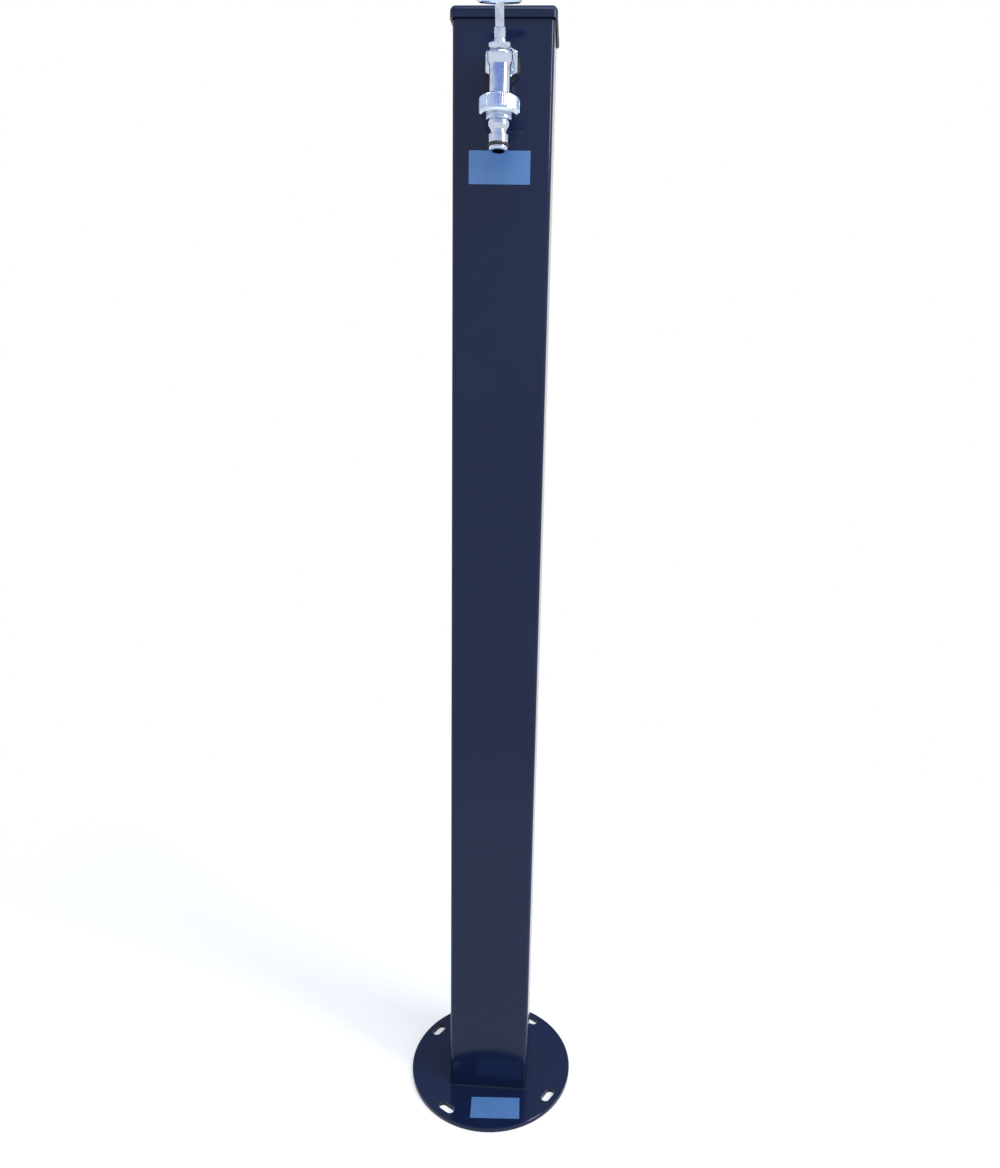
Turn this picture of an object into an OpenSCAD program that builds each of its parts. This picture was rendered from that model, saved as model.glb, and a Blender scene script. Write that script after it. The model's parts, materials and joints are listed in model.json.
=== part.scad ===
// Garden standpipe: a powder-coated post on a round foot plate, with a chrome
// tap near the top and the water pipe inside the post.
// Millimetres. The origin is the middle of the foot plate's underside,
// +Z is up and the tap faces -Y.

/* [Post] */
// Height from the ground to the top of the cap
total_h = 1010; // [500:10:1400]
// Width of the post across its front
post_w = 80; // [70:5:100]
// Depth of the post from front to back
post_d = 60; // [60:5:90]
// Wall of the post's tube
post_wall = 2; // [1.5:0.5:3]
// Outer corner radius of the post
post_corner = 4; // [3.5:0.5:8]
// How far the post's middle stands in front of the plate's middle
post_forward = 5; // [0:1:8]
// Leg of the weld round the post's foot
weld_leg = 1; // [1:0.5:4]

/* [Foot plate] */
// Diameter of the foot plate
plate_d = 170; // [160:5:240]
// Thickness of the foot plate
plate_t = 5; // [3:1:10]
// Edge break on the plate's rim
plate_edge = 0.6; // [0.2:0.1:1.5]
// Metal between a slot and the plate's rim
slot_margin = 6; // [4:0.5:8]
// Number of ground-screw slots
slot_count = 4; // [3:1:6]
// Length of a slot, end to end
slot_l = 18; // [12:1:26]
// Width of a slot
slot_w = 9; // [6:0.5:10]
// Turn of the slots from the plate's diagonals, in degrees
slot_turn = 13; // [0:1:20]
// Diameter of the hole that the supply comes up through
passage_d = 40; // [34:1:48]

/* [Cap] */
// Height of the cap from its rim to its top
cap_h = 9.2; // [7:0.2:20]
// Wall of the cap
cap_wall = 1.5; // [1:0.1:2]
// Room between the cap's skirt and the post
cap_gap = 0.5; // [0.2:0.1:1]
// Radius of the cap's upper edges and corners
cap_edge_r = 4.5; // [2:0.5:6]

/* [Tap body] */
// How far the tap's centre lies below the cap's top
tap_drop = 46; // [44:1:200]
// How far the tap's centre lies in front of the post
tap_reach = 22; // [20:1:40]
// Height of the inlet above the tap's centre
inlet_rise = 2.5; // [1:0.5:3]
// Width across the flats of the inlet's hexagon
inlet_hex_af = 24.5; // [23:0.5:27]
// Length of the inlet's hexagon
inlet_hex_l = 10; // [6:0.5:11]
// Outer diameter of the inlet's half-inch thread
inlet_d = 20.9; // [20:0.1:21]
// Length of the inlet's thread behind the hexagon
inlet_l = 24; // [20:0.5:25]
// Bore of the inlet
inlet_bore_d = 10; // [8:0.5:12]
// Diameter of the neck between the hexagon and the dome
neck_d = 17; // [14:0.5:18]
// Diameter of the dome that carries the headwork
dome_d = 19.2; // [18.5:0.1:22]
// Height of the dome's top above the tap's centre
dome_rise = 7.6; // [7:0.2:9]
// Depth of the dome's rim below the tap's centre
dome_drop = 0.8; // [0.2:0.1:2]
// Radius of the dome's upper edge
dome_edge_r = 2.6; // [1:0.2:3]
// Diameter of the ball under the dome
ball_d = 18.2; // [17:0.2:18.4]
// Diameter of the valve chamber
chamber_d = 13; // [12.8:0.1:13.4]
// Depth of the valve seat below the tap's centre
seat_drop = 4.5; // [4.3:0.1:5.5]
// Bore of the valve seat
seat_bore_d = 8.5; // [7:0.5:9]
// Forward lean of the headwork, in degrees
headwork_lean = 19; // [0:1:25]

/* [Spout] */
// Forward lean of the spout, in degrees
spout_lean = 5; // [0:1:8]
// Outer diameter of the spout
spout_d = 16.4; // [15:0.2:17]
// Bore of the spout
spout_bore_d = 11; // [9:0.5:12]
// Distance from the tap's centre to the spout's end
spout_l = 35; // [28:0.5:60]
// Outer diameter of the spout's three-quarter-inch thread
spout_thread_d = 26.2; // [25:0.1:26.5]
// Length of the spout's thread
spout_thread_l = 7.5; // [6:0.5:10]

/* [Headwork] */
// Width across the flats of the headwork's hexagon
headwork_af = 16; // [15.5:0.5:17]
// Height of the headwork's hexagon
headwork_hex_h = 3.6; // [3:0.2:6]
// Depth of the headwork's plug in the body
headwork_plug_l = 4.7; // [4.2:0.1:4.9]
// Diameter of the spindle's thread
spindle_thread_d = 9; // [8:0.5:9]
// Diameter of the spindle's stem
spindle_d = 7; // [6:0.5:7]
// Rise of the spindle in one turn
spindle_pitch = 1.5; // [1:0.1:1.5]
// Turns from shut to fully open
spindle_turns = 2; // [1:0.5:2]
// Height of the gland nut above the headwork's hexagon
gland_h = 2.4; // [1.6:0.2:6]
// Lower diameter of the gland nut
gland_d = 10.6; // [10.4:0.2:12]
// Upper diameter of the gland nut
gland_top_d = 9; // [8.8:0.2:10]

/* [Handle] */
// Diameter of the handle's socket
socket_d = 8.9; // [8.8:0.1:11]
// Length of the handle's socket
socket_l = 6.9; // [6:0.1:9]
// Diameter of the handle's shank
shank_d = 7.1; // [6:0.1:8]
// Length of the shank between socket and cross bar
shank_l = 13.2; // [8:0.2:30]
// Span of the cross bar
bar_span = 34; // [28:1:60]
// Height of the cross bar at its middle
bar_d = 9; // [7.5:0.5:12]
// Height of the cross bar at its ends
bar_end_d = 7.4; // [6:0.2:9]
// Turn of the cross bar when the tap is shut, in degrees
bar_turn = 13; // [-90:1:90]

/* [Hose connector] */
// Outer diameter of the union nut
union_d = 31; // [30:0.5:36]
// Height of the union nut
union_h = 12.8; // [12.4:0.2:16]
// Number of ribs round the union nut
rib_count = 56; // [24:4:72]
// Depth of the grooves between the ribs
rib_depth = 0.7; // [0.3:0.1:0.8]
// Diameter of the nipple's skirt
skirt_d = 20.6; // [19:0.2:21]
// Diameter of the nipple's step under the skirt
step_d = 17; // [16:0.2:18]
// Diameter of the waist that a hose coupling locks in
waist_d = 12.6; // [12:0.1:13.4]
// Diameter of the nipple's collar
collar_d = 15.6; // [15:0.1:16.4]
// Outer diameter of the nipple's sealing ring
ring_d = 16.6; // [16.4:0.1:17]
// Section of the nipple's sealing ring
ring_section = 2.7; // [2.4:0.1:3]
// Bore of the nipple
nipple_bore_d = 9.6; // [8:0.2:10]

/* [Pipe] */
// Outer diameter of the pipe in the post
pipe_d = 15; // [14:0.5:15]
// Wall of the pipe
pipe_wall = 1; // [0.7:0.1:1.5]
// Width across the flats of the compression nuts
pipe_nut_af = 24; // [23:0.5:26]
// Inner diameter of the supply's half-inch thread
supply_d = 18.8; // [18:0.1:19.2]
// Width across the flats of the supply adapter
supply_af = 27; // [26:0.5:29]
// Height of the supply adapter's lower end above the ground
supply_h = 2; // [1:0.5:4]

/* [Hidden] */

// Radial room of a turning or screwed fit
fit = 0.05;
// Room between faces that stay apart at rest
face_gap = 0.2;
// Overrun of every cut
over = 1;

coat_colour = [0.13, 0.15, 0.24];
chrome_colour = [0.78, 0.8, 0.84];
brass_colour = [0.78, 0.62, 0.3];
steel_colour = [0.6, 0.61, 0.63];
rubber_colour = [0.08, 0.08, 0.09];
seal_colour = [0.85, 0.85, 0.82];

// Places that follow from the sizes above
post_front = -post_forward - post_d / 2;
post_top = total_h - cap_wall - face_gap;
tap_y = post_front - tap_reach;
tap_z = total_h - tap_drop;
inlet_z = tap_z + inlet_rise;
inlet_hole_play = 0.3;

// Slots: each is half its length either side of a circle inside the rim
slot_circle_d = plate_d - slot_w - 2 * slot_margin;
slot_r = slot_w / 2;
slot_reach = slot_l / 2 - slot_r;
diagonal = 45;
hex_half_side = 30;

// Inlet stations, measured into the post from its front face
inlet_seal_t = 1.5;
inlet_seal_d = 28;
hex_chamfer = 1;
wall_washer_t = 1.5;
wall_washer_d = 30;
back_nut_h = 6;
back_nut_af = 27;
inlet_end = inlet_l - inlet_seal_t;
back_nut_start = post_wall + wall_washer_t;
elbow_start = back_nut_start + back_nut_h + face_gap;

// Elbow and pipe
elbow_axis = -post_front;
elbow_socket_d = 27;
elbow_end_play = 1;
elbow_body_d = 22;
elbow_bore_d = 12;
elbow_leg = 26;
grip_l = 12;
grip_thread_d = 18;
grip_thread_l = 9;
cone_flare = 1;
olive_d = 17;
olive_l = 5;
olive_seat_l = 1;
pipe_nut_h = 14;
pipe_nut_cover = 7;
elbow_mouth_z = inlet_z - elbow_leg;
supply_depth = 13;
supply_hex_h = 20;
adapter_mouth_z = supply_h + supply_hex_h + grip_l;
pipe_play = 0.5;
pipe_low = adapter_mouth_z - grip_l + pipe_play;
pipe_high = elbow_mouth_z + grip_l - pipe_play;

// Headwork stations, measured up its own axis from the tap's centre
headwork_seal_t = 0.6;
headwork_seal_in_d = 13.4;
headwork_seal_d = 15.4;
headwork_base = dome_rise + headwork_seal_t;
headwork_top = headwork_base + headwork_hex_h;
headwork_foot = headwork_base - headwork_plug_l;
packing_d = 10.4;
packing_l = 1.4;
packing_depth_share = 0.6;
packing_base = headwork_top - packing_depth_share * headwork_hex_h;
gland_base = packing_base + packing_l;
gland_top = headwork_top + gland_h;
spot_face_d = 20;

// Valve stations
seat_bore_l = 3.5;
lift = spindle_pitch * spindle_turns;
washer_d = 12;
washer_t = 2;
washer_base = face_gap - seat_drop;
disc_t = 1.5;
disc_base = washer_base + washer_t;
disc_top = disc_base + disc_t;
guide_d = 4;
guide_l = 4.6;
screw_d = 3;
screw_head_d = 5.6;
screw_head_h = 1.6;

// Spindle stations
spindle_base = disc_top + face_gap;
spindle_thread_top = packing_base - lift - face_gap;
square_af = 5;
square_l = 6.1;
socket_base = gland_top + face_gap;
socket_top = socket_base + socket_l;
bar_base = socket_top + shank_l;
pin_d = 1.6;
pin_z = socket_base + socket_l / 2;
socket_chamfer = 0.5;

// Spout stations, measured down its own axis from the tap's centre
thread_start = spout_l - spout_thread_l;
thread_chamfer = 0.8;
nipple_seal_t = 1.7;
nipple_seal_d = 24.4;
nipple_seal_in_d = 15;
nipple_seal_base = spout_l + face_gap / 2;
flange_base = nipple_seal_base + nipple_seal_t;
flange_d = 25;
flange_t = 1.5;
lip_base = flange_base + flange_t + face_gap / 2;
lip_t = 1.5;
union_end = lip_base + lip_t;
union_start = union_end - union_h;
union_bevel = 1;
union_groove = 0.5;
bead_h = 1.4;
bead_taper = 1.3;

// Nipple stations below the union nut's lip
skirt_l = 3.4;
step_groove = 0.8;
step_groove_d = 15.8;
step_l = 2.8;
taper_l = 3.4;
waist_l = 1.9;
waist_groove = 1.2;
waist_groove_d = 11.8;
collar_flange_d = 16;
collar_flange_l = 1.2;
collar_l = 4.8;
ring_seat_d = ring_d - 2 * ring_section - 2 * fit;
tip_l = 2.4;
tip_d = 15;
tip_end_d = 13.8;
nipple_edge = 0.3;
skirt_end = union_end + skirt_l;
step_base = skirt_end + step_groove;
step_end = step_base + step_l;
waist_base = step_end + taper_l;
waist_end = waist_base + waist_l;
collar_base = waist_end + waist_groove;
collar_end = collar_base + collar_flange_l + collar_l;
ring_end = collar_end + ring_section + 2 * fit;
nipple_end = ring_end + tip_l;

$fn = 96;

// Rectangle with round corners about the origin
module rounded_rect(w, d, r) {
    square([w - 2 * r, d], center = true);
    square([w, d - 2 * r], center = true);
    for (x = [-1, 1], y = [-1, 1])
        translate([x * (w / 2 - r), y * (d / 2 - r)]) circle(r);
}

// Ring about Z
module ring(outer_d, inner_d, h) {
    difference() {
        cylinder(d = outer_d, h = h);
        translate([0, 0, -over]) cylinder(d = inner_d, h = h + 2 * over);
    }
}

// Hexagon about Z with turned chamfers at both ends
module turned_hex(af, h, chamfer) {
    corner_d = af / cos(180 / 6);
    low = corner_d / 2 - chamfer;
    drop = chamfer * tan(180 / 6);
    intersection() {
        cylinder(d = corner_d, h = h, $fn = 6);
        rotate_extrude()
            polygon([[0, 0], [low, 0], [corner_d / 2, drop],
                     [corner_d / 2, h - drop], [low, h], [0, h]]);
    }
}

// Places children on the post's axis
module post_place() {
    translate([0, -post_forward, 0]) children();
}

// Z runs into the post along the inlet, from the post's front face
module inlet_place() {
    translate([0, post_front, inlet_z]) rotate([-90, 0, 0]) children();
}

// Z runs up the headwork from the tap's centre
module headwork_place() {
    translate([0, tap_y, tap_z]) rotate([headwork_lean, 0, 0]) children();
}

// Z runs down the spout from the tap's centre
module spout_place() {
    translate([0, tap_y, tap_z]) rotate([180 - spout_lean, 0, 0]) children();
}

// Round foot plate with slots for the ground screws
module base_plate() {
    color(coat_colour) difference() {
        rotate_extrude()
            polygon([[0, 0], [plate_d / 2 - plate_edge, 0], [plate_d / 2, plate_edge],
                     [plate_d / 2, plate_t - plate_edge],
                     [plate_d / 2 - plate_edge, plate_t], [0, plate_t]]);
        translate([0, 0, -over]) cylinder(d = passage_d, h = plate_t + 2 * over);
        for (i = [0:slot_count - 1])
            rotate([0, 0, diagonal + slot_turn + i * 360 / slot_count])
                translate([slot_circle_d / 2, 0, -over]) slot_cut();
    }
}

// One slot, running along Y
module slot_cut() {
    h = plate_t + 2 * over;
    translate([-slot_r, -slot_reach, 0]) cube([slot_w, 2 * slot_reach, h]);
    for (y = [-slot_reach, slot_reach])
        translate([0, y, 0]) cylinder(d = slot_w, h = h);
}

// Rectangular tube with the hole for the tap's inlet
module post_tube() {
    color(coat_colour) difference() {
        post_place() translate([0, 0, plate_t])
            linear_extrude(post_top - plate_t) difference() {
                rounded_rect(post_w, post_d, post_corner);
                rounded_rect(post_w - 2 * post_wall, post_d - 2 * post_wall,
                             post_corner - post_wall);
            }
        inlet_place() translate([0, 0, -over])
            cylinder(d = inlet_d + 2 * inlet_hole_play, h = post_wall + 2 * over);
    }
}

// Fillet weld between the post and the plate
module foot_weld() {
    color(coat_colour) post_place() translate([0, 0, plate_t]) {
        for (side = [0, 180]) rotate([0, 0, side]) {
            weld_run(post_w - 2 * post_corner, post_d / 2);
            rotate([0, 0, 90]) weld_run(post_d - 2 * post_corner, post_w / 2);
        }
        for (x = [-1, 1], y = [-1, 1])
            translate([x * (post_w / 2 - post_corner), y * (post_d / 2 - post_corner), 0])
                rotate([0, 0, atan2(y, x) - diagonal]) rotate_extrude(angle = 90)
                    translate([post_corner, 0]) weld_section();
    }
}

// Cross-section of the weld
module weld_section() {
    polygon([[0, 0], [weld_leg, 0], [0, weld_leg]]);
}

// Straight run of weld at a distance from the post's axis
module weld_run(l, away) {
    translate([-l / 2, -away, 0]) rotate([90, 0, 90])
        linear_extrude(l) mirror([1, 0]) weld_section();
}

// Cap that drops over the post's upper end
module post_cap() {
    w = post_w + 2 * (cap_gap + cap_wall);
    d = post_d + 2 * (cap_gap + cap_wall);
    r = cap_edge_r;
    flat_z = cap_h - r;
    color(coat_colour) post_place() translate([0, 0, total_h - cap_h]) difference() {
        union() {
            linear_extrude(flat_z) rounded_rect(w, d, r);
            translate([0, 0, flat_z]) {
                translate([r - w / 2, r - d / 2, 0]) cube([w - 2 * r, d - 2 * r, r]);
                for (x = [-1, 1], y = [-1, 1])
                    translate([x * (w / 2 - r), y * (d / 2 - r), 0]) sphere(r);
                for (x = [-1, 1]) translate([x * (w / 2 - r), d / 2 - r, 0])
                    rotate([90, 0, 0]) cylinder(r = r, h = d - 2 * r);
                for (y = [-1, 1]) translate([r - w / 2, y * (d / 2 - r), 0])
                    rotate([0, 90, 0]) cylinder(r = r, h = w - 2 * r);
            }
        }
        translate([0, 0, -over]) linear_extrude(cap_h - cap_wall + over)
            rounded_rect(w - 2 * cap_wall, d - 2 * cap_wall, max(r - cap_wall, cap_wall));
    }
}

// Flat seal between the tap's hexagon and the post
module inlet_seal() {
    color(rubber_colour) inlet_place() translate([0, 0, -inlet_seal_t])
        ring(inlet_seal_d, inlet_d + 2 * inlet_hole_play, inlet_seal_t);
}

// Tap body: inlet, domed valve chamber and spout in one casting
module tap_body() {
    color(chrome_colour) difference() {
        union() {
            inlet_place() translate([0, 0, -inlet_seal_t - inlet_hex_l]) {
                cylinder(d = inlet_d, h = inlet_hex_l + inlet_l);
                upright_hex(inlet_hex_af, inlet_hex_l);
            }
            inlet_place() translate([0, 0, -tap_reach])
                cylinder(d = neck_d, h = tap_reach - inlet_seal_t - inlet_hex_l / 2);
            headwork_place() dome();
            spout_place() spout();
        }
        headwork_place() {
            translate([0, 0, dome_rise]) cylinder(d = spot_face_d, h = dome_d / 2);
            translate([0, 0, -seat_drop])
                cylinder(d = chamber_d, h = seat_drop + dome_rise + over);
            translate([0, 0, -seat_drop - seat_bore_l])
                cylinder(d = seat_bore_d, h = seat_bore_l + over);
        }
        inlet_place() translate([0, 0, -tap_reach])
            cylinder(d = inlet_bore_d, h = tap_reach + inlet_end + over);
        spout_place() translate([0, 0, seat_drop + spout_bore_d / 4])
            cylinder(d = spout_bore_d, h = spout_l);
    }
}

// Hexagon with flats at its left and right
module upright_hex(af, h) {
    rotate([0, 0, hex_half_side]) turned_hex(af, h, hex_chamfer);
}

// Dome and the ball under it
module dome() {
    sphere(d = ball_d);
    rotate_extrude() {
        square_top = dome_rise - dome_edge_r;
        translate([0, -dome_drop]) square([dome_d / 2, square_top + dome_drop]);
        square([dome_d / 2 - dome_edge_r, dome_rise]);
        intersection() {
            translate([dome_d / 2 - dome_edge_r, square_top]) circle(dome_edge_r);
            square([dome_d / 2, dome_rise]);
        }
    }
}

// Spout with its threaded end
module spout() {
    r = spout_d / 2;
    t = spout_thread_d / 2;
    rotate_extrude()
        polygon([[0, 0], [r, 0], [r, thread_start - thread_chamfer],
                 [t - thread_chamfer, thread_start], [t, thread_start + thread_chamfer],
                 [t, spout_l - thread_chamfer], [t - thread_chamfer, spout_l],
                 [0, spout_l]]);
}

// Washer under the back nut
module wall_washer() {
    color(steel_colour) inlet_place() translate([0, 0, post_wall])
        ring(wall_washer_d, inlet_d + 2 * inlet_hole_play, wall_washer_t);
}

// Nut that clamps the tap to the post's wall
module back_nut() {
    color(brass_colour) inlet_place() translate([0, 0, back_nut_start]) difference() {
        upright_hex(back_nut_af, back_nut_h);
        translate([0, 0, -over]) cylinder(d = inlet_d + 2 * fit, h = back_nut_h + 2 * over);
    }
}

// Elbow from the tap's inlet down to the pipe
module wall_elbow() {
    socket_end = inlet_end + elbow_end_play;
    color(brass_colour) difference() {
        union() {
            inlet_place() {
                translate([0, 0, elbow_start])
                    cylinder(d = elbow_socket_d, h = socket_end - elbow_start + over);
                translate([0, 0, elbow_start])
                    cylinder(d = elbow_body_d, h = elbow_axis - elbow_start);
                translate([0, 0, elbow_axis]) sphere(d = elbow_body_d);
            }
            translate([0, 0, elbow_mouth_z + grip_thread_l])
                cylinder(d = elbow_body_d, h = elbow_leg - grip_thread_l);
            translate([0, 0, elbow_mouth_z]) cylinder(d = grip_thread_d, h = elbow_leg);
        }
        inlet_place() {
            translate([0, 0, elbow_start - over])
                cylinder(d = inlet_d + 2 * fit, h = socket_end - elbow_start + over);
            translate([0, 0, elbow_start])
                cylinder(d = elbow_bore_d, h = elbow_axis - elbow_start);
        }
        translate([0, 0, elbow_mouth_z]) cylinder(d = elbow_bore_d, h = elbow_leg);
        translate([0, 0, elbow_mouth_z + grip_l]) rotate([180, 0, 0]) grip_cut();
    }
}

// Pipe socket of a compression fitting, with its coned mouth at the far end
module grip_cut() {
    cylinder(d = pipe_d + 2 * fit, h = grip_l + over);
    translate([0, 0, grip_l - olive_seat_l])
        cylinder(d1 = pipe_d + 2 * fit, d2 = pipe_d + 2 * fit + 2 * cone_flare,
                 h = olive_seat_l);
    translate([0, 0, grip_l])
        cylinder(d = pipe_d + 2 * fit + 2 * cone_flare, h = over);
}

// Ring that the compression nut squeezes onto the pipe, from a fitting's mouth up
module olive() {
    bore = pipe_d + 2 * fit;
    slope = (olive_d - bore) / 2;
    difference() {
        rotate_extrude()
            polygon([[0, 0], [bore / 2, 0], [olive_d / 2, slope],
                     [olive_d / 2, olive_l - slope], [bore / 2, olive_l], [0, olive_l]]);
        translate([0, 0, -over]) cylinder(d = bore, h = olive_l + 2 * over);
    }
}

// Compression nut round a fitting's mouth at the origin
module pipe_nut() {
    bore = pipe_d + 2 * fit;
    mouth_l = pipe_nut_cover + olive_l + face_gap;
    translate([0, 0, -pipe_nut_cover]) difference() {
        turned_hex(pipe_nut_af, pipe_nut_h, hex_chamfer);
        translate([0, 0, -over]) {
            cylinder(d = bore, h = pipe_nut_h + 2 * over);
            cylinder(d = grip_thread_d + 2 * fit, h = mouth_l + over);
        }
    }
}

// Places children at the elbow's mouth, looking down the pipe
module elbow_mouth() {
    translate([0, 0, elbow_mouth_z]) rotate([180, 0, 0]) children();
}

// Places children at the supply adapter's mouth, looking up the pipe
module adapter_mouth() {
    translate([0, 0, adapter_mouth_z]) children();
}

module elbow_olive() {
    color(brass_colour) elbow_mouth() olive();
}

module elbow_nut() {
    color(brass_colour) elbow_mouth() pipe_nut();
}

// Pipe that brings the water up the post
module riser_pipe() {
    color(steel_colour) translate([0, 0, pipe_low])
        ring(pipe_d, pipe_d - 2 * pipe_wall, pipe_high - pipe_low);
}

module adapter_nut() {
    color(brass_colour) adapter_mouth() pipe_nut();
}

module adapter_olive() {
    color(brass_colour) adapter_mouth() olive();
}

// Fitting at the pipe's foot that takes the supply's thread from below
module supply_adapter() {
    color(brass_colour) difference() {
        union() {
            translate([0, 0, supply_h]) turned_hex(supply_af, supply_hex_h, hex_chamfer);
            translate([0, 0, supply_h]) cylinder(d = grip_thread_d, h = supply_hex_h + grip_l);
        }
        translate([0, 0, supply_h - over]) cylinder(d = supply_d, h = supply_depth + over);
        translate([0, 0, supply_h]) cylinder(d = elbow_bore_d, h = supply_hex_h + over);
        translate([0, 0, supply_h + supply_hex_h]) grip_cut();
    }
}

// Screwed-in head of the valve, with the spindle's thread and the gland's seat
module headwork() {
    color(chrome_colour) headwork_place() difference() {
        union() {
            translate([0, 0, headwork_foot])
                cylinder(d = chamber_d - 2 * fit, h = headwork_plug_l + over);
            translate([0, 0, headwork_base]) upright_hex(headwork_af, headwork_hex_h);
        }
        translate([0, 0, headwork_foot - over])
            cylinder(d = spindle_thread_d + 2 * fit, h = packing_base - headwork_foot + 2 * over);
        translate([0, 0, packing_base]) cylinder(d = packing_d, h = headwork_hex_h);
    }
}

// Seal between the body and the headwork's hexagon
module headwork_seal() {
    color(seal_colour) headwork_place() translate([0, 0, dome_rise])
        ring(headwork_seal_d, headwork_seal_in_d, headwork_seal_t);
}

// Packing round the spindle
module gland_packing() {
    color(seal_colour) headwork_place() translate([0, 0, packing_base])
        ring(packing_d - 2 * fit, spindle_d + 2 * fit, packing_l);
}

// Coned nut that presses the packing
module gland_nut() {
    color(chrome_colour) headwork_place() difference() {
        union() {
            translate([0, 0, gland_base])
                cylinder(d = packing_d - 2 * fit, h = headwork_top - gland_base);
            translate([0, 0, headwork_top])
                cylinder(d1 = gland_d, d2 = gland_top_d, h = gland_h);
        }
        translate([0, 0, gland_base - over])
            cylinder(d = spindle_d + 2 * fit, h = gland_top - gland_base + 2 * over);
    }
}

// Rubber washer that shuts on the seat
module seat_washer() {
    color(rubber_colour) headwork_place() translate([0, 0, washer_base])
        ring(washer_d, screw_d + 2 * fit, washer_t);
}

// Screw that holds the washer to the jumper
module washer_screw() {
    color(brass_colour) headwork_place() translate([0, 0, washer_base]) {
        translate([0, 0, -screw_head_h]) cylinder(d = screw_head_d, h = screw_head_h);
        cylinder(d = screw_d, h = washer_t + disc_t);
    }
}

// Disc that carries the washer, with a guide that runs in the spindle
module jumper() {
    color(brass_colour) headwork_place() difference() {
        union() {
            translate([0, 0, disc_base]) cylinder(d = washer_d, h = disc_t);
            translate([0, 0, disc_base]) cylinder(d = guide_d, h = disc_t + guide_l);
        }
        translate([0, 0, disc_base - over]) cylinder(d = screw_d + 2 * fit, h = disc_t + over);
    }
}

// Spindle: thread, stem and the square that the handle sits on
module spindle() {
    color(brass_colour) headwork_place() difference() {
        union() {
            translate([0, 0, spindle_base])
                cylinder(d = spindle_thread_d, h = spindle_thread_top - spindle_base);
            translate([0, 0, spindle_base])
                cylinder(d = spindle_d, h = gland_top - spindle_base);
            translate([-square_af / 2, -square_af / 2, spindle_base])
                cube([square_af, square_af, gland_top + square_l - spindle_base]);
        }
        translate([0, 0, spindle_base - over])
            cylinder(d = guide_d + 2 * fit, h = guide_l + over);
        translate([0, 0, pin_z]) pin_cut();
    }
}

// Hole for the handle's pin
module pin_cut() {
    translate([-socket_d / 2 - over, 0, 0]) rotate([0, 90, 0])
        cylinder(d = pin_d + 2 * fit, h = socket_d + 2 * over);
}

// Handle: socket, shank and cross bar
module t_handle() {
    bar_z = bar_base + bar_d / 2;
    ball_x = (bar_span - bar_end_d) / 2;
    color(chrome_colour) headwork_place() difference() {
        union() {
            translate([0, 0, socket_base]) rotate_extrude()
                polygon([[0, 0], [socket_d / 2, 0], [socket_d / 2, socket_l - socket_chamfer],
                         [socket_d / 2 - socket_chamfer, socket_l], [0, socket_l]]);
            translate([0, 0, socket_base])
                cylinder(d = shank_d, h = bar_z - socket_base);
            translate([0, 0, bar_z]) rotate([0, 0, bar_turn]) {
                sphere(d = bar_d);
                for (side = [0, 180]) rotate([0, 0, side]) {
                    rotate([0, 90, 0]) cylinder(d1 = bar_d, d2 = bar_end_d, h = ball_x);
                    translate([ball_x, 0, 0]) sphere(d = bar_end_d);
                }
            }
        }
        translate([-square_af / 2 - fit, -square_af / 2 - fit, socket_base - over])
            cube([square_af + 2 * fit, square_af + 2 * fit, square_l + over]);
        translate([0, 0, pin_z]) pin_cut();
    }
}

// Pin through the handle's socket and the spindle's square
module handle_pin() {
    color(steel_colour) headwork_place() translate([-socket_d / 2, 0, pin_z])
        rotate([0, 90, 0]) cylinder(d = pin_d, h = socket_d);
}

// Nipple that a hose coupling clicks onto
module hose_nipple() {
    e = nipple_edge;
    color(chrome_colour) spout_place() difference() {
        rotate_extrude()
            polygon([[0, flange_base], [flange_d / 2, flange_base],
                     [flange_d / 2, flange_base + flange_t],
                     [skirt_d / 2, flange_base + flange_t],
                     [skirt_d / 2, skirt_end - e], [skirt_d / 2 - e, skirt_end],
                     [step_groove_d / 2, skirt_end], [step_groove_d / 2, step_base],
                     [step_d / 2 - e, step_base], [step_d / 2, step_base + e],
                     [step_d / 2, step_end], [waist_d / 2, waist_base],
                     [waist_d / 2, waist_end], [waist_groove_d / 2, waist_end],
                     [waist_groove_d / 2, collar_base],
                     [collar_flange_d / 2 - e, collar_base],
                     [collar_flange_d / 2, collar_base + e],
                     [collar_flange_d / 2, collar_base + collar_flange_l],
                     [collar_d / 2, collar_base + collar_flange_l],
                     [collar_d / 2, collar_end], [ring_seat_d / 2, collar_end],
                     [ring_seat_d / 2, ring_end], [tip_d / 2, ring_end],
                     [tip_d / 2, nipple_end - tip_l / 2], [tip_end_d / 2, nipple_end],
                     [0, nipple_end]]);
        translate([0, 0, flange_base - over])
            cylinder(d = nipple_bore_d, h = nipple_end - flange_base + 2 * over);
    }
}

// Flat seal between the spout and the nipple
module nipple_seal() {
    color(rubber_colour) spout_place() translate([0, 0, nipple_seal_base])
        ring(nipple_seal_d, nipple_seal_in_d, nipple_seal_t);
}

// Sealing ring near the nipple's tip
module nipple_o_ring() {
    color(rubber_colour) spout_place()
        translate([0, 0, collar_end + ring_section / 2 + fit]) rotate_extrude()
            translate([(ring_d - ring_section) / 2, 0]) circle(d = ring_section);
}

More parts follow.
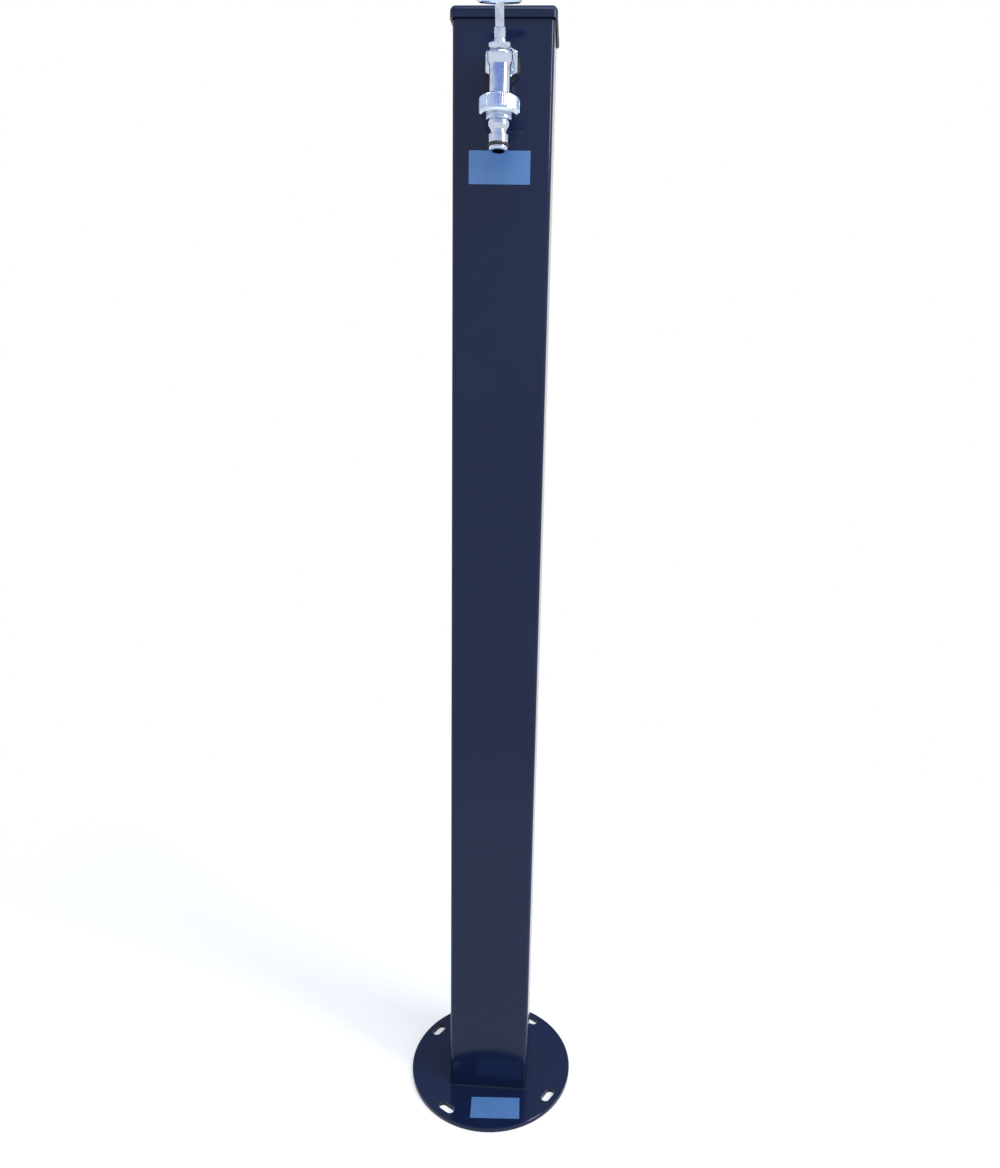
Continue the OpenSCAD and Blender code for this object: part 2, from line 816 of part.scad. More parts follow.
// Ribbed nut that holds the nipple to the spout
module union_nut() {
    r = union_d / 2;
    low_r = r - rib_depth;
    rib_top = union_start + union_bevel;
    rib_end = union_end - bead_taper - bead_h - union_groove;
    color(chrome_colour) spout_place() difference() {
        union() {
            translate([0, 0, rib_top]) linear_extrude(rib_end - rib_top) rib_outline();
            rotate_extrude()
                polygon([[0, union_start], [low_r - union_bevel, union_start],
                         [low_r, rib_top], [low_r, rib_end + union_groove],
                         [r, rib_end + union_groove], [r, rib_end + union_groove + bead_h],
                         [r - bead_taper, union_end], [0, union_end]]);
        }
        translate([0, 0, union_start - over])
            cylinder(d = spout_thread_d + 2 * fit, h = lip_base - union_start + over);
        translate([0, 0, union_start])
            cylinder(d = skirt_d + 2 * face_gap, h = union_h + over);
    }
}

// Outline of the ribbed band: flat-topped ribs with sloping sides
module rib_outline() {
    r = union_d / 2;
    step = 360 / rib_count;
    rib_shares = [[0, 0], [0.3, 0], [0.5, 1], [0.8, 1]];
    polygon([for (i = [0:rib_count - 1]) for (s = rib_shares)
        (r - s[1] * rib_depth) * [cos((i + s[0]) * step), sin((i + s[0]) * step)]]);
}

base_plate();
post_tube();
foot_weld();
post_cap();
inlet_seal();
tap_body();
wall_washer();
back_nut();
wall_elbow();
elbow_olive();
elbow_nut();
riser_pipe();
adapter_nut();
adapter_olive();
supply_adapter();
headwork();
headwork_seal();
gland_packing();
gland_nut();
seat_washer();
washer_screw();
jumper();
spindle();
t_handle();
handle_pin();
hose_nipple();
nipple_seal();
nipple_o_ring();
union_nut();
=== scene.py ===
"""Looks of the garden standpipe: finishes, fine pieces, light and camera, in metres."""

import json
import logging
import math
from dataclasses import dataclass, field
from enum import Enum
from typing import Optional, Sequence, Union

import bpy
from mathutils import Matrix, Vector


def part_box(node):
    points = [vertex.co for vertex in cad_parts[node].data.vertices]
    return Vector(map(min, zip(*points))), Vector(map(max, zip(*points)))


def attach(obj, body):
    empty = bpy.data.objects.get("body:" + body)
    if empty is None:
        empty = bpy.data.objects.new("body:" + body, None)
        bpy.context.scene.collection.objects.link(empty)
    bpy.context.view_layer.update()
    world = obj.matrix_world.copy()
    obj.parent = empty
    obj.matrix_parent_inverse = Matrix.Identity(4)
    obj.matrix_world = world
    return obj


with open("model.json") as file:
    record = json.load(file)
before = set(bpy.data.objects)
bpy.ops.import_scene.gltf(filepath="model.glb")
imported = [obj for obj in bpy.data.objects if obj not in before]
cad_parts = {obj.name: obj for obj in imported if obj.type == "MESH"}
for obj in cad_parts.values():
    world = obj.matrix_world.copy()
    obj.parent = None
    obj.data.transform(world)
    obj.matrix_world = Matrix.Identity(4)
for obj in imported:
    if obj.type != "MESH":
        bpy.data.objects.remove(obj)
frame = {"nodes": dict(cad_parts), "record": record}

LOG = logging.getLogger("standpipe")
MM = 0.001
TAP_CENTRE = (0.0, -0.057, 0.964)
SPOUT_LEAN = math.radians(5.0)
SPOUT_AXIS = (0.0, -math.sin(SPOUT_LEAN), -math.cos(SPOUT_LEAN))

# Sockets of the Mix node that hold colours. It has others of the same names.
MIX_FIRST, MIX_SECOND, MIX_RESULT = 6, 7, 2

Colour = tuple[float, float, float]
Place = tuple[float, float, float]
Levels = tuple[float, float]


class Body(Enum):
    """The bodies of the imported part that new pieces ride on."""

    STANDPIPE = "standpipe"


class Slot(Enum):
    """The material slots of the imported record."""

    COAT = "coated_steel"
    CHROME = "chrome"
    BRASS = "brass"
    STEEL = "plain_steel"
    RUBBER = "rubber"
    SEAL = "white_seal"


class Wire:
    """A shader value with arithmetic: each operator adds one Math node."""

    def __init__(self, graph: "Graph", socket: bpy.types.NodeSocket) -> None:
        """Wraps a socket.

        Args:
            graph: The graph that the socket belongs to.
            socket: An output socket.
        """
        self.graph = graph
        self.socket = socket

    def _maths(self, operation: str, first: object, second: object) -> "Wire":
        """Adds a Math node on two values.

        Args:
            operation: The node's operation.
            first: A wire or a number.
            second: A wire or a number.

        Returns:
            The result.
        """
        return self.graph.node("ShaderNodeMath", {"operation": operation}, {0: first, 1: second})

    def __add__(self, other: object) -> "Wire":
        """Sum."""
        return self._maths("ADD", self, other)

    def __radd__(self, other: object) -> "Wire":
        """Sum with a number on the left."""
        return self._maths("ADD", other, self)

    def __mul__(self, other: object) -> "Wire":
        """Product."""
        return self._maths("MULTIPLY", self, other)

    def __gt__(self, other: object) -> "Wire":
        """One where this value is the larger, else zero."""
        return self._maths("GREATER_THAN", self, other)

    def __lt__(self, other: object) -> "Wire":
        """One where this value is the smaller, else zero."""
        return self._maths("LESS_THAN", self, other)


class Graph:
    """A node tree that is filled from expressions."""

    def __init__(self, tree: bpy.types.NodeTree) -> None:
        """Clears a tree.

        Args:
            tree: The node tree of a material or a world.
        """
        self.tree = tree
        tree.nodes.clear()

    def node(
        self,
        kind: str,
        settings: Optional[dict] = None,
        values: Optional[dict] = None,
        output: Union[int, str, None] = 0,
    ) -> Optional[Wire]:
        """Adds a node.

        Args:
            kind: The node's type.
            settings: Properties to set first; "stops" fills a ramp with places and colours.
            values: Numbers, colours or wires for its inputs, by name or number.
            output: The output to hand back, or None for a node that ends the tree.

        Returns:
            The chosen output, if there is one.
        """
        made = self.tree.nodes.new(kind)
        for name, value in (settings or {}).items():
            if name == "stops":
                ramp = made.color_ramp.elements
                while len(ramp) < len(value):
                    ramp.new(1.0)
                for stop, (place, colour) in zip(ramp, value):
                    stop.position = place
                    stop.color = (*colour, 1.0)
            else:
                setattr(made, name, value)
        for name, value in (values or {}).items():
            socket = made.inputs[name]
            if isinstance(value, Wire):
                self.tree.links.new(value.socket, socket)
            elif isinstance(value, tuple) and socket.type == "RGBA":
                socket.default_value = (*value, 1.0)
            else:
                socket.default_value = value
        return None if output is None else Wire(self, made.outputs[output])

    def coords(self) -> Wire:
        """Object coordinates, in metres in the part's own frame."""
        return self.node("ShaderNodeTexCoord", output="Object")

    def noise(self, where: Wire, size: float, detail: float = 2.0) -> Wire:
        """Noise from 0 to 1.

        Args:
            where: The coordinates that it reads.
            size: The size of its blobs in metres.
            detail: How many finer layers it adds.

        Returns:
            The noise's value.
        """
        return self.node(
            "ShaderNodeTexNoise", None, {"Vector": where, "Scale": 1.0 / size, "Detail": detail}
        )

    def span(self, value: Wire, levels: Levels) -> Wire:
        """Maps a range to 0..1 with smooth, clamped ends.

        Args:
            value: The value to map.
            levels: The values that become 0 and 1.

        Returns:
            The mapped value.
        """
        low, high = levels
        return self.node(
            "ShaderNodeMapRange",
            {"interpolation_type": "SMOOTHSTEP"},
            {"Value": value, "From Min": low, "From Max": high, "To Min": 0.0, "To Max": 1.0},
        )

    def blend(self, share: object, first: object, second: object) -> Wire:
        """Mixes two colours.

        Args:
            share: How much of the second colour is used, from 0 to 1.
            first: A colour or a wire.
            second: A colour or a wire.

        Returns:
            The mixed colour.
        """
        return self.node(
            "ShaderNodeMix",
            {"data_type": "RGBA"},
            {0: share, MIX_FIRST: first, MIX_SECOND: second},
            output=MIX_RESULT,
        )

    def mix_shaders(self, share: Wire, first: Wire, second: Wire) -> Wire:
        """Mixes two shaders.

        Args:
            share: How much of the second shader is used, from 0 to 1.
            first: A shader.
            second: A shader.

        Returns:
            The mixed shader.
        """
        return self.node("ShaderNodeMixShader", None, {0: share, 1: first, 2: second})

    def bump(self, height: Wire, distance: float, strength: float = 1.0) -> Wire:
        """A bumped normal from a height.

        Args:
            height: The height, from 0 to 1.
            distance: What a height of 1 stands for, in metres.
            strength: How much of the bump is used.

        Returns:
            The normal.
        """
        return self.node(
            "ShaderNodeBump", None, {"Height": height, "Distance": distance, "Strength": strength}
        )

    def surface(self, values: dict) -> None:
        """Adds a Principled shader and the output.

        Args:
            values: The shader's inputs, by name.
        """
        shader = self.node("ShaderNodeBsdfPrincipled", None, values)
        self.node_output(shader)

    def node_output(self, shader: Wire, kind: str = "ShaderNodeOutputMaterial") -> None:
        """Links a shader to the tree's output.

        Args:
            shader: The shader.
            kind: The output node's type.
        """
        self.node(kind, None, {"Surface": shader}, output=None)


def new_graph(name: str) -> tuple[bpy.types.Material, Graph]:
    """Makes an empty material.

    Args:
        name: The material's name.

    Returns:
        The material and its graph.
    """
    material = bpy.data.materials.new(name)
    material.use_nodes = True
    return material, Graph(material.node_tree)


@dataclass(frozen=True)
class PowderCoat:
    """Glossy bluish anthracite powder coat with a fine orange peel."""

    colour: Colour = (0.0060, 0.0130, 0.0480)
    pale: Colour = (0.0085, 0.0160, 0.0535)
    dust: Colour = (0.055, 0.062, 0.085)
    peel_size: float = 0.0032
    peel_depth: float = 0.000006
    roughness: float = 0.10
    roughness_swing: float = 0.07
    index: float = 1.30
    cloud_size: float = 0.09
    speck_size: float = 0.0013
    speck_level: float = 0.86
    speck_roughness: float = 0.4

    def build(self) -> bpy.types.Material:
        """Makes the material."""
        material, graph = new_graph("powder_coat")
        where = graph.coords()
        cloud = graph.noise(where, self.cloud_size)
        peel = graph.noise(where, self.peel_size, detail=1.0)
        specks = graph.noise(where, self.speck_size, detail=0.0) > self.speck_level
        colour = graph.blend(cloud, self.colour, self.pale)
        smooth = self.roughness + cloud * self.roughness_swing
        graph.surface({
            "Base Color": graph.blend(specks, colour, self.dust),
            "Roughness": smooth + specks * self.speck_roughness,
            "IOR": self.index,
            "Normal": graph.bump(peel, self.peel_depth),
        })
        return material


@dataclass(frozen=True)
class Thread:
    """A cut screw thread round a leaning axis, drawn as a bump."""

    centre: Place
    axis: Place
    start: float
    end: float
    inner_radius: float
    pitch: float
    depth: float

    def height(self, graph: Graph) -> Wire:
        """The thread's height.

        Args:
            graph: The material's graph.

        Returns:
            A value from 0 at the root to 1 at the crest, and 0 away from the thread.
        """
        along = Vector(self.axis).normalized()
        side = Vector((1.0, 0.0, 0.0))
        front = along.cross(side)
        place = graph.node(
            "ShaderNodeVectorMath", {"operation": "SUBTRACT"}, {0: graph.coords(), 1: self.centre}
        )
        run, across, ahead = (
            graph.node(
                "ShaderNodeVectorMath",
                {"operation": "DOT_PRODUCT"},
                {0: place, 1: tuple(way)},
                output="Value",
            )
            for way in (along, side, front)
        )
        turn = graph.node("ShaderNodeMath", {"operation": "ARCTAN2"}, {0: across, 1: ahead})
        phase = run * (1.0 / self.pitch) + turn * (0.5 / math.pi)
        ridge = graph.node("ShaderNodeMath", {"operation": "PINGPONG"}, {0: phase, 1: 0.5}) * 2.0
        outside = (across * across + ahead * ahead) > self.inner_radius**2
        return ridge * outside * (run > self.start) * (self.end > run)


@dataclass(frozen=True)
class Chrome:
    """Polished chrome plate with faint wipe marks, a blue tint that is painted reflection of sky,
    and a cut thread where it has one.
    """

    name: str = "chrome_plate"
    # The blue tint of these colours is painted reflection of a blue sky; plain chrome plate is
    # close to neutral grey.
    colour: Colour = (0.57, 0.64, 0.77)
    dull: Colour = (0.42, 0.48, 0.62)
    roughness: float = 0.05
    roughness_swing: float = 0.07
    smear_size: float = 0.006
    smear_levels: Levels = (0.42, 0.72)
    grain_size: float = 0.0009
    grain_depth: float = 0.0000003
    thread: Optional[Thread] = None

    def build(self) -> bpy.types.Material:
        """Makes the material."""
        material, graph = new_graph(self.name)
        where = graph.coords()
        smear = graph.span(graph.noise(where, self.smear_size, detail=4.0), self.smear_levels)
        height = graph.noise(where, self.grain_size)
        depth = self.grain_depth
        if self.thread is not None:
            depth = self.thread.depth
            height = self.thread.height(graph) + height * (self.grain_depth / depth)
        graph.surface({
            "Base Color": graph.blend(smear, self.colour, self.dull),
            "Metallic": 1.0,
            "Roughness": self.roughness + smear * self.roughness_swing,
            "Normal": graph.bump(height, depth),
        })
        return material


@dataclass(frozen=True)
class ShadedWeldCoat:
    """The coat over the weld: duller and rippled along the bead, and painted darker as shade
    along the seam at the post's foot.
    """

    # These colours are darker than the powder coat: painted shade for the shadow seam at the
    # foot.
    colour: Colour = (0.003, 0.005, 0.016)
    pale: Colour = (0.008, 0.011, 0.028)
    roughness: float = 0.55
    roughness_swing: float = 0.2
    index: float = 1.3
    ripple_size: float = 0.0016
    ripple_depth: float = 0.00035

    def build(self) -> bpy.types.Material:
        """Makes the material."""
        material, graph = new_graph("weld_coat_painted_shade")
        ripple = graph.noise(graph.coords(), self.ripple_size)
        graph.surface({
            "Base Color": graph.blend(ripple, self.colour, self.pale),
            "Roughness": self.roughness + ripple * self.roughness_swing,
            "IOR": self.index,
            "Normal": graph.bump(ripple, self.ripple_depth),
        })
        return material


@dataclass(frozen=True)
class Brass:
    """Machined brass, a little dulled."""

    colour: Colour = (0.72, 0.50, 0.20)
    tarnish: Colour = (0.42, 0.27, 0.11)
    roughness: float = 0.22
    roughness_swing: float = 0.22
    patch_size: float = 0.008
    patch_levels: Levels = (0.40, 0.75)
    tool_mark: float = 0.0004
    tool_depth: float = 0.000006

    def build(self) -> bpy.types.Material:
        """Makes the material."""
        material, graph = new_graph("machined_brass")
        where = graph.coords()
        patch = graph.span(graph.noise(where, self.patch_size, detail=4.0), self.patch_levels)
        marks = graph.noise(where, self.tool_mark, detail=1.0)
        graph.surface({
            "Base Color": graph.blend(patch, self.colour, self.tarnish),
            "Metallic": 1.0,
            "Roughness": self.roughness + patch * self.roughness_swing,
            "Normal": graph.bump(marks, self.tool_depth),
        })
        return material


@dataclass(frozen=True)
class PlainSteel:
    """Drawn stainless steel with lines along its length."""

    colour: Colour = (0.56, 0.57, 0.59)
    dull: Colour = (0.40, 0.41, 0.43)
    roughness: float = 0.26
    roughness_swing: float = 0.16
    line_size: float = 0.0006
    line_stretch: float = 0.03
    line_depth: float = 0.000006

    def build(self) -> bpy.types.Material:
        """Makes the material."""
        material, graph = new_graph("drawn_steel")
        stretched = graph.node(
            "ShaderNodeMapping", None, {0: graph.coords(), "Scale": (1.0, 1.0, self.line_stretch)}
        )
        lines = graph.noise(stretched, self.line_size, detail=3.0)
        graph.surface({
            "Base Color": graph.blend(lines, self.colour, self.dull),
            "Metallic": 1.0,
            "Roughness": self.roughness + lines * self.roughness_swing,
            "Normal": graph.bump(lines, self.line_depth),
        })
        return material


@dataclass(frozen=True)
class Rubber:
    """Moulded black rubber with a dusty bloom."""

    colour: Colour = (0.012, 0.012, 0.013)
    bloom: Colour = (0.035, 0.035, 0.038)
    roughness: float = 0.42
    roughness_swing: float = 0.25
    bloom_size: float = 0.004
    grain_size: float = 0.0003
    grain_depth: float = 0.00001

    def build(self) -> bpy.types.Material:
        """Makes the material."""
        material, graph = new_graph("black_rubber")
        where = graph.coords()
        bloom = graph.noise(where, self.bloom_size, detail=3.0)
        graph.surface({
            "Base Color": graph.blend(bloom, self.colour, self.bloom),
            "Roughness": self.roughness + bloom * self.roughness_swing,
            "Normal": graph.bump(graph.noise(where, self.grain_size), self.grain_depth),
        })
        return material


@dataclass(frozen=True)
class PackingFibre:
    """Off-white packing and flat seals, with a fibrous face."""

    colour: Colour = (0.78, 0.77, 0.72)
    shade: Colour = (0.60, 0.58, 0.52)
    roughness: float = 0.55
    roughness_swing: float = 0.2
    fibre_size: float = 0.0005
    fibre_depth: float = 0.00003

    def build(self) -> bpy.types.Material:
        """Makes the material."""
        material, graph = new_graph("packing_fibre")
        fibre = graph.noise(graph.coords(), self.fibre_size, detail=4.0)
        graph.surface({
            "Base Color": graph.blend(fibre, self.colour, self.shade),
            "Roughness": self.roughness + fibre * self.roughness_swing,
            "Normal": graph.bump(fibre, self.fibre_depth),
        })
        return material


@dataclass(frozen=True)
class LabelFilm:
    """Plain blue vinyl film."""

    colour: Colour = (0.074, 0.185, 0.445)
    faded: Colour = (0.094, 0.213, 0.473)
    roughness: float = 0.28
    roughness_swing: float = 0.12
    ripple_size: float = 0.010
    ripple_depth: float = 0.00002

    def build(self) -> bpy.types.Material:
        """Makes the material."""
        material, graph = new_graph("blue_film")
        ripple = graph.noise(graph.coords(), self.ripple_size, detail=3.0)
        graph.surface({
            "Base Color": graph.blend(ripple, self.colour, self.faded),
            "Roughness": self.roughness + ripple * self.roughness_swing,
            "Normal": graph.bump(ripple, self.ripple_depth),
        })
        return material


class Bench:
    """The few operations that every new piece is modelled with."""

    @staticmethod
    def clear() -> None:
        """Deselects everything."""
        for thing in bpy.context.selected_objects:
            thing.select_set(False)

    @staticmethod
    def hold(piece: bpy.types.Object) -> bpy.types.Object:
        """Makes a piece the only selected and active one.

        Args:
            piece: The piece.

        Returns:
            The piece.
        """
        Bench.clear()
        piece.select_set(True)
        bpy.context.view_layer.objects.active = piece
        return piece

    @staticmethod
    def settle(piece: bpy.types.Object, place: Optional[Matrix] = None) -> None:
        """Puts a piece's place into its mesh.

        Args:
            piece: The piece.
            place: Where its own axes go in the part's frame.
        """
        Bench.hold(piece)
        bpy.ops.object.transform_apply(location=True, rotation=True, scale=True)
        if place is not None:
            piece.data.transform(place)
        piece.data.update()

    @staticmethod
    def apply(piece: bpy.types.Object, kind: str, **settings: object) -> None:
        """Adds a modifier and applies it.

        Args:
            piece: The piece.
            kind: The modifier's type.
            **settings: The modifier's properties.
        """
        Bench.hold(piece)
        modifier = piece.modifiers.new(kind.title(), kind)
        for name, value in settings.items():
            setattr(modifier, name, value)
        bpy.ops.object.modifier_apply(modifier=modifier.name)

    @staticmethod
    def dress(
        piece: bpy.types.Object,
        name: str,
        body: Body,
        slot: Optional[Slot],
        finish: bpy.types.Material,
    ) -> bpy.types.Object:
        """Names a finished piece, gives it its finish and lets it ride.

        Args:
            piece: The finished piece.
            name: Its name.
            body: The body that it moves with.
            slot: The record's slot that its finish comes from, if it has one.
            finish: Its material.

        Returns:
            The piece.
        """
        piece.name = name
        piece.data.name = name
        piece.data.materials.clear()
        piece.data.materials.append(finish)
        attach(piece, body.value)
        LOG.info("made %s: %d faces", name, len(piece.data.polygons))
        return piece


@dataclass
class Finishes:
    """Every material, built once."""

    coat: bpy.types.Material = field(default_factory=lambda: PowderCoat().build())
    chrome: bpy.types.Material = field(default_factory=lambda: Chrome().build())
    brass: bpy.types.Material = field(default_factory=lambda: Brass().build())
    steel: bpy.types.Material = field(default_factory=lambda: PlainSteel().build())
    rubber: bpy.types.Material = field(default_factory=lambda: Rubber().build())
    seal: bpy.types.Material = field(default_factory=lambda: PackingFibre().build())
    film: bpy.types.Material = field(default_factory=lambda: LabelFilm().build())
    own: dict[str, bpy.types.Material] = field(default_factory=dict)

    def __post_init__(self) -> None:
        """Makes the finishes that belong to a single node, including a brighter, painted-lit copy
        of the chrome for the union nut and a darker, painted-shade coat for the foot weld.
        """
        spout = Thread(
            centre=TAP_CENTRE,
            axis=SPOUT_AXIS,
            start=0.0275,
            end=0.0350,
            inner_radius=0.0120,
            pitch=0.0018,
            depth=0.0009,
        )
        self.own["tap_body"] = Chrome(name="chrome_threaded", thread=spout).build()
        # The union nut gets a brighter copy of the same chrome: painted light, standing in for
        # the stronger reflections that fall on it.
        ribbed_painted_lit = Chrome(
            name="chrome_ribbed",
            colour=(0.71, 0.79, 0.90),
            dull=(0.58, 0.65, 0.77),
            roughness=0.08,
            roughness_swing=0.08,
        )
        self.own["union_nut"] = ribbed_painted_lit.build()
        # The foot weld's coat is painted darker than the post's: painted shade along the seam.
        self.own["foot_weld"] = ShadedWeldCoat().build()

    def of_slot(self, slot: Slot) -> bpy.types.Material:
        """The material of a record's slot.

        Args:
            slot: The slot.

        Returns:
            Its material.
        """
        return {
            Slot.COAT: self.coat,
            Slot.CHROME: self.chrome,
            Slot.BRASS: self.brass,
            Slot.STEEL: self.steel,
            Slot.RUBBER: self.rubber,
            Slot.SEAL: self.seal,
        }[slot]

    def dress_nodes(self) -> None:
        """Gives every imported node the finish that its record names."""
        for row in frame["record"]["subparts"]:
            node = frame["nodes"][row["node"]]
            slot = Slot(row["material_slot"])
            node.data.materials.clear()
            node.data.materials.append(self.own.get(row["node"], self.of_slot(slot)))
            LOG.info("dressed %s in %s", row["node"], slot.value)


def turned(place: Sequence[float], degrees: float, axis: str) -> Matrix:
    """A turn about an axis, followed by a move.

    Args:
        place: Where the origin goes.
        degrees: The turn.
        axis: The axis of the turn, X, Y or Z.

    Returns:
        The transform.
    """
    return Matrix.Translation(place) @ Matrix.Rotation(math.radians(degrees), 4, axis)


@dataclass
class Labels:
    """Two bare blue labels, on the post's front and on the foot plate."""

    width: float = 49.5 * MM
    height: float = 25 * MM
    corner: float = 0.6 * MM
    film: float = 0.12 * MM
    corner_segments: int = 4
    edge_segments: int = 2
    post_middle_z: float = 894.5 * MM
    post_middle_x: float = -1.5 * MM
    plate_middle: tuple[float, float] = (0.010, -0.060)
    plate_turn: float = 3.0

    def sheet(self, place: Matrix) -> bpy.types.Object:
        """Models one label: a thin slab with round corners and softened edges.

        Args:
            place: Where the label's own axes go in the part's frame.

        Returns:
            The label.
        """
        Bench.clear()
        bpy.ops.mesh.primitive_plane_add(size=1.0)
        label = bpy.context.object
        label.scale = (self.width, self.height, 1.0)
        Bench.settle(label)
        bpy.ops.object.mode_set(mode="EDIT")
        bpy.ops.mesh.select_all(action="SELECT")
        bpy.ops.mesh.bevel(offset=self.corner, segments=self.corner_segments, affect="VERTICES")
        bpy.ops.mesh.select_all(action="SELECT")
        bpy.ops.mesh.extrude_region_move(TRANSFORM_OT_translate={"value": (0, 0, self.film)})
        bpy.ops.mesh.select_all(action="SELECT")
        bpy.ops.mesh.normals_make_consistent(inside=False)
        bpy.ops.object.mode_set(mode="OBJECT")
        Bench.apply(label, "BEVEL", width=self.film / 3, segments=self.edge_segments)
        Bench.settle(label, place)
        return label

    def build(self, finishes: Finishes) -> None:
        """Places both labels.

        Args:
            finishes: The materials.
        """
        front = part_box("post_tube")[0].y
        upright = turned((self.post_middle_x, front, self.post_middle_z), 90, "X")
        Bench.dress(self.sheet(upright), "post_label", Body.STANDPIPE, None, finishes.film)
        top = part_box("base_plate")[1].z
        flat = turned((*self.plate_middle, top), self.plate_turn, "Z")
        Bench.dress(self.sheet(flat), "plate_label", Body.STANDPIPE, None, finishes.film)


@dataclass
class Camera:
    """The photograph's camera, found from the foot plate, the slots and the post's edges."""

    place: Place = (0.0649, -0.7558, 0.7296)
    yaw: float = -3.09
    down: float = 13.52
    roll: float = 1.32
    focal_px: float = 828.8
    middle_px: tuple[float, float] = (524.2, 579.0)
    frame_px: tuple[float, float] = (1000.0, 1168.0)
    sensor: float = 36.0
    clip_start: float = 0.01

    def axes(self) -> tuple[Vector, Vector, Vector]:
        """The camera's own axes.

        Returns:
            Its right, up and forward directions.
        """
        yaw, down, roll = (math.radians(a) for a in (self.yaw, self.down, self.roll))
        forward = Vector(
            (math.sin(yaw) * math.cos(down), math.cos(yaw) * math.cos(down), -math.sin(down))
        )
        level = Vector((math.cos(yaw), -math.sin(yaw), 0.0))
        rise = level.cross(forward)
        right = math.cos(roll) * level + math.sin(roll) * rise
        up = -math.sin(roll) * level + math.cos(roll) * rise
        return right, up, forward

    def build(self) -> None:
        """Makes the camera and sets it as the scene's."""
        data = bpy.data.cameras.new("camera")
        width, height = self.frame_px
        data.sensor_width = self.sensor
        data.lens = self.focal_px * self.sensor / height
        data.shift_x = (width / 2 - self.middle_px[0]) / height
        data.shift_y = (self.middle_px[1] - height / 2) / height
        data.clip_start = self.clip_start
        camera = bpy.data.objects.new("camera", data)
        right, up, forward = self.axes()
        turn = Matrix((right, up, -forward)).transposed().to_4x4()
        camera.matrix_world = Matrix.Translation(self.place) @ turn
        bpy.context.scene.collection.objects.link(camera)
        bpy.context.scene.camera = camera


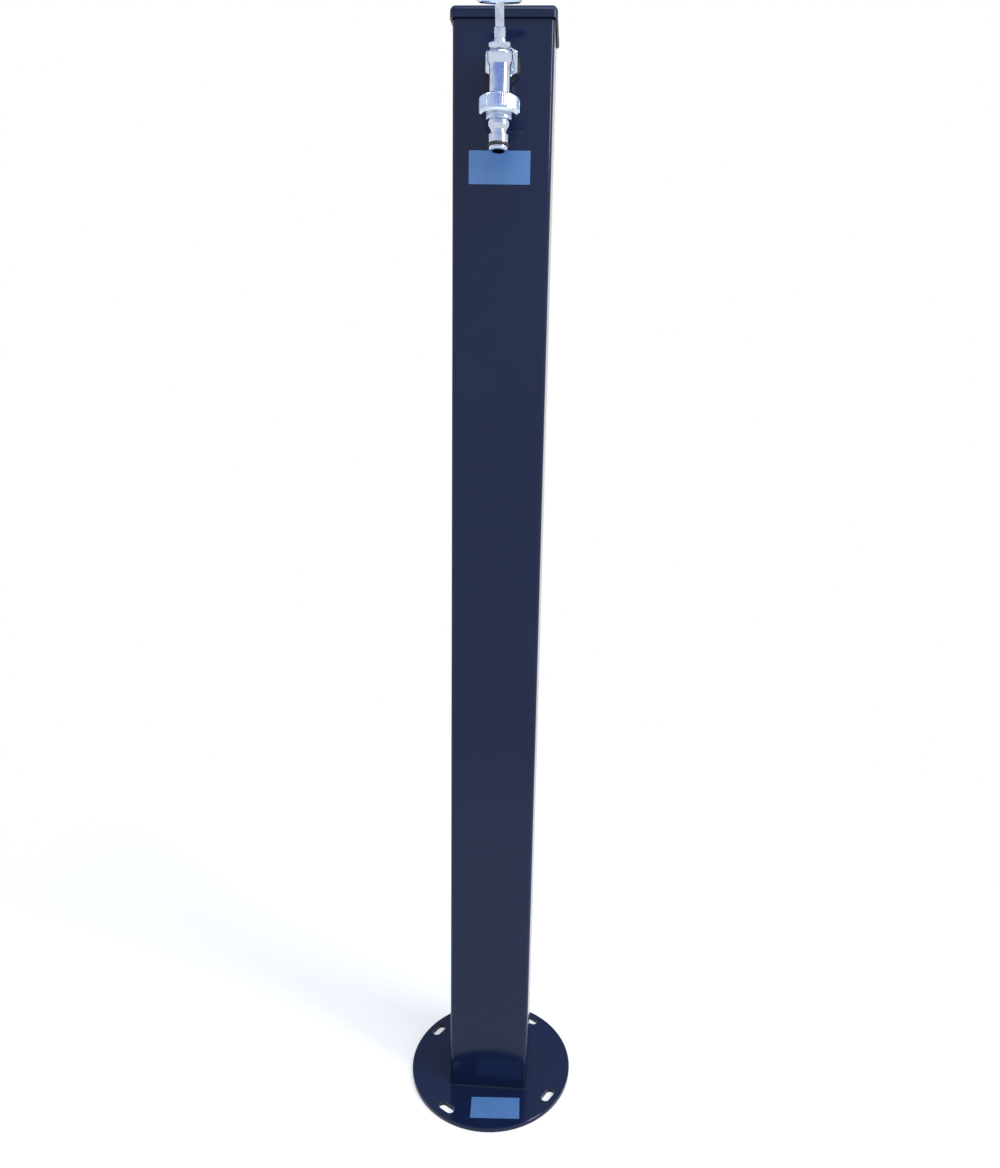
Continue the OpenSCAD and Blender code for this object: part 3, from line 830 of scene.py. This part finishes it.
@dataclass
class Studio:
    """Pale floor, soft light and one background for the eye, gloss and glass."""

    floor_size: float = 2.0
    floor_z: float = -0.0002
    floor_colour: Colour = (0.72, 0.73, 0.76)
    floor_lift: float = 0.40
    floor_fade: Levels = (0.55, 0.92)
    even_light: Colour = (0.52, 0.55, 0.60)
    backdrop: Colour = (1.0, 1.0, 1.0)
    lamp_aim: Place = (0.0, 0.0, 0.6)
    sky: tuple[tuple[float, Colour], ...] = (
        (0.37, (1.00, 1.00, 1.00)),
        (0.46, (0.32, 0.43, 0.82)),
        (0.58, (0.34, 0.45, 0.82)),
        (0.75, (0.62, 0.70, 0.92)),
    )

    def build(self) -> None:
        """Makes the floor, the lamps and the world."""
        self.floor()
        self.world()
        self.lamp(
            "top_light",
            place=(0.5, -1.1, 2.6),
            size=(1.6, 1.2),
            power=26.0,
            colour=(0.93, 0.96, 1.0),
        )
        self.lamp(
            "right_light",
            place=(1.9, -0.9, 1.95),
            size=(0.7, 1.15),
            power=34.0,
            colour=(1.0, 1.0, 1.0),
        )

    def lamp(
        self,
        name: str,
        place: Place,
        size: tuple[float, float],
        power: float,
        colour: Colour,
    ) -> None:
        """Adds a soft rectangular lamp aimed at the post.

        Args:
            name: The lamp's name.
            place: Where it hangs.
            size: Its width and height.
            power: Its power in watts.
            colour: Its colour.
        """
        data = bpy.data.lights.new(name, "AREA")
        data.shape = "RECTANGLE"
        data.size, data.size_y = size
        data.energy = power
        data.color = colour
        lamp = bpy.data.objects.new(name, data)
        aim = Vector(self.lamp_aim) - Vector(place)
        turn = aim.to_track_quat("-Z", "Y").to_matrix().to_4x4()
        lamp.matrix_world = Matrix.Translation(place) @ turn
        bpy.context.scene.collection.objects.link(lamp)

    def floor(self) -> None:
        """A pale floor that keeps the shadow and fades into the white backdrop at its edge."""
        Bench.clear()
        bpy.ops.mesh.primitive_plane_add(size=self.floor_size, location=(0, 0, self.floor_z))
        floor = bpy.context.object
        floor.name = "floor"
        material, graph = new_graph("pale_floor")
        pale = graph.node("ShaderNodeBsdfDiffuse", None, {"Color": self.floor_colour})
        lift = graph.node(
            "ShaderNodeEmission", None, {"Color": self.backdrop, "Strength": self.floor_lift}
        )
        white = graph.node("ShaderNodeAddShader", None, {0: pale, 1: lift})
        reach = graph.node(
            "ShaderNodeVectorMath", {"operation": "LENGTH"}, {0: graph.coords()}, output="Value"
        )
        edge = graph.node("ShaderNodeEmission", None, {"Color": self.backdrop, "Strength": 1.0})
        white = graph.mix_shaders(graph.span(reach, self.floor_fade), white, edge)
        graph.node_output(graph.mix_shaders(self.seen(graph), pale, white))
        floor.data.materials.append(material)

    def world(self) -> None:
        """The background: white up to above the photo's frame, with blue sky over it.

        The camera, gloss and glass see it. Other rays get one even, pale light.
        """
        world = bpy.data.worlds.new("World")
        bpy.context.scene.world = world
        world.use_nodes = True
        graph = Graph(world.node_tree)
        direction = graph.node("ShaderNodeTexCoord", output="Generated")
        rise = graph.node("ShaderNodeSeparateXYZ", None, {0: direction}, output="Z")
        stops = [(self.ramp_place(height), colour) for height, colour in self.sky]
        sky = graph.node("ShaderNodeValToRGB", {"stops": stops}, {0: self.ramp_place(rise)})
        colour = graph.blend(self.seen(graph), self.even_light, sky)
        shader = graph.node("ShaderNodeBackground", None, {"Color": colour, "Strength": 1.0})
        graph.node_output(shader, "ShaderNodeOutputWorld")

    @staticmethod
    def ramp_place(height: Union[float, Wire]) -> Union[float, Wire]:
        """A direction's height as a place on the ramp.

        Args:
            height: From -1 straight down to 1 straight up.

        Returns:
            The place, from 0 to 1.
        """
        return height * 0.5 + 0.5

    @staticmethod
    def seen(graph: Graph) -> Wire:
        """Tells the rays that see the background from those that only light.

        Args:
            graph: The graph of the floor's material or of the world.

        Returns:
            One for rays of the camera, of gloss and through glass, else zero.
        """
        rays = [
            graph.node("ShaderNodeLightPath", output=name)
            for name in ("Is Camera Ray", "Is Glossy Ray", "Is Transmission Ray")
        ]
        return rays[0] + rays[1] + rays[2]


def main() -> None:
    """Builds the camera, the studio, the finishes and the fine pieces."""
    logging.basicConfig(level=logging.INFO, format="%(message)s")
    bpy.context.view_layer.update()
    bpy.context.scene.view_settings.view_transform = "Standard"
    Camera().build()
    Studio().build()
    finishes = Finishes()
    finishes.dress_nodes()
    Labels().build(finishes)


if __name__ == "__main__":
    main()
